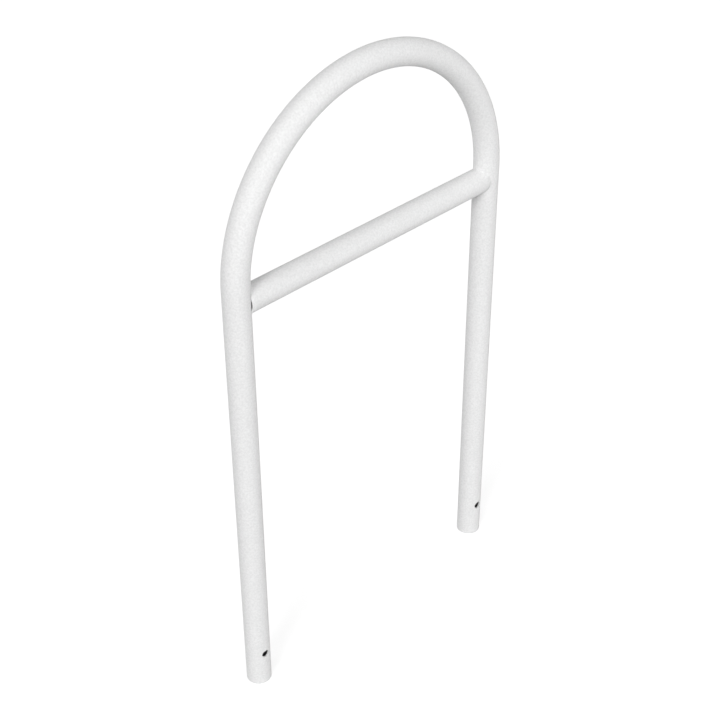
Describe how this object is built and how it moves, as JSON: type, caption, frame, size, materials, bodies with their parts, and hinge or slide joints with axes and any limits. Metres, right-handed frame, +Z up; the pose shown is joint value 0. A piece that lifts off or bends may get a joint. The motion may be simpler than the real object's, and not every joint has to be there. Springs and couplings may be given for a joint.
{
  "type": "hoop bike rack",
  "caption": "Tall inverted-U bike rack of bent white-coated steel pipe, with a welded crossbar below the arch and an anchor-pin hole near each open leg end.",
  "frame": {"origin": "midway between the two legs, at the height of their open bottom ends", "axes": "+X across the hoop from the left leg to the right one, +Y through the hoop towards its back, +Z up"},
  "size_m": [0.6578, 0.0484, 1.2158],
  "materials": {
    "white_powder_coat": "fine-textured satin white powder coat over steel"
  },
  "bodies": {
    "root": {"hoop_tube": "white_powder_coat", "crossbar": "white_powder_coat", "left_upper_weld": "white_powder_coat", "left_lower_weld": "white_powder_coat", "right_upper_weld": "white_powder_coat", "right_lower_weld": "white_powder_coat"}
  },
  "joints": []
}
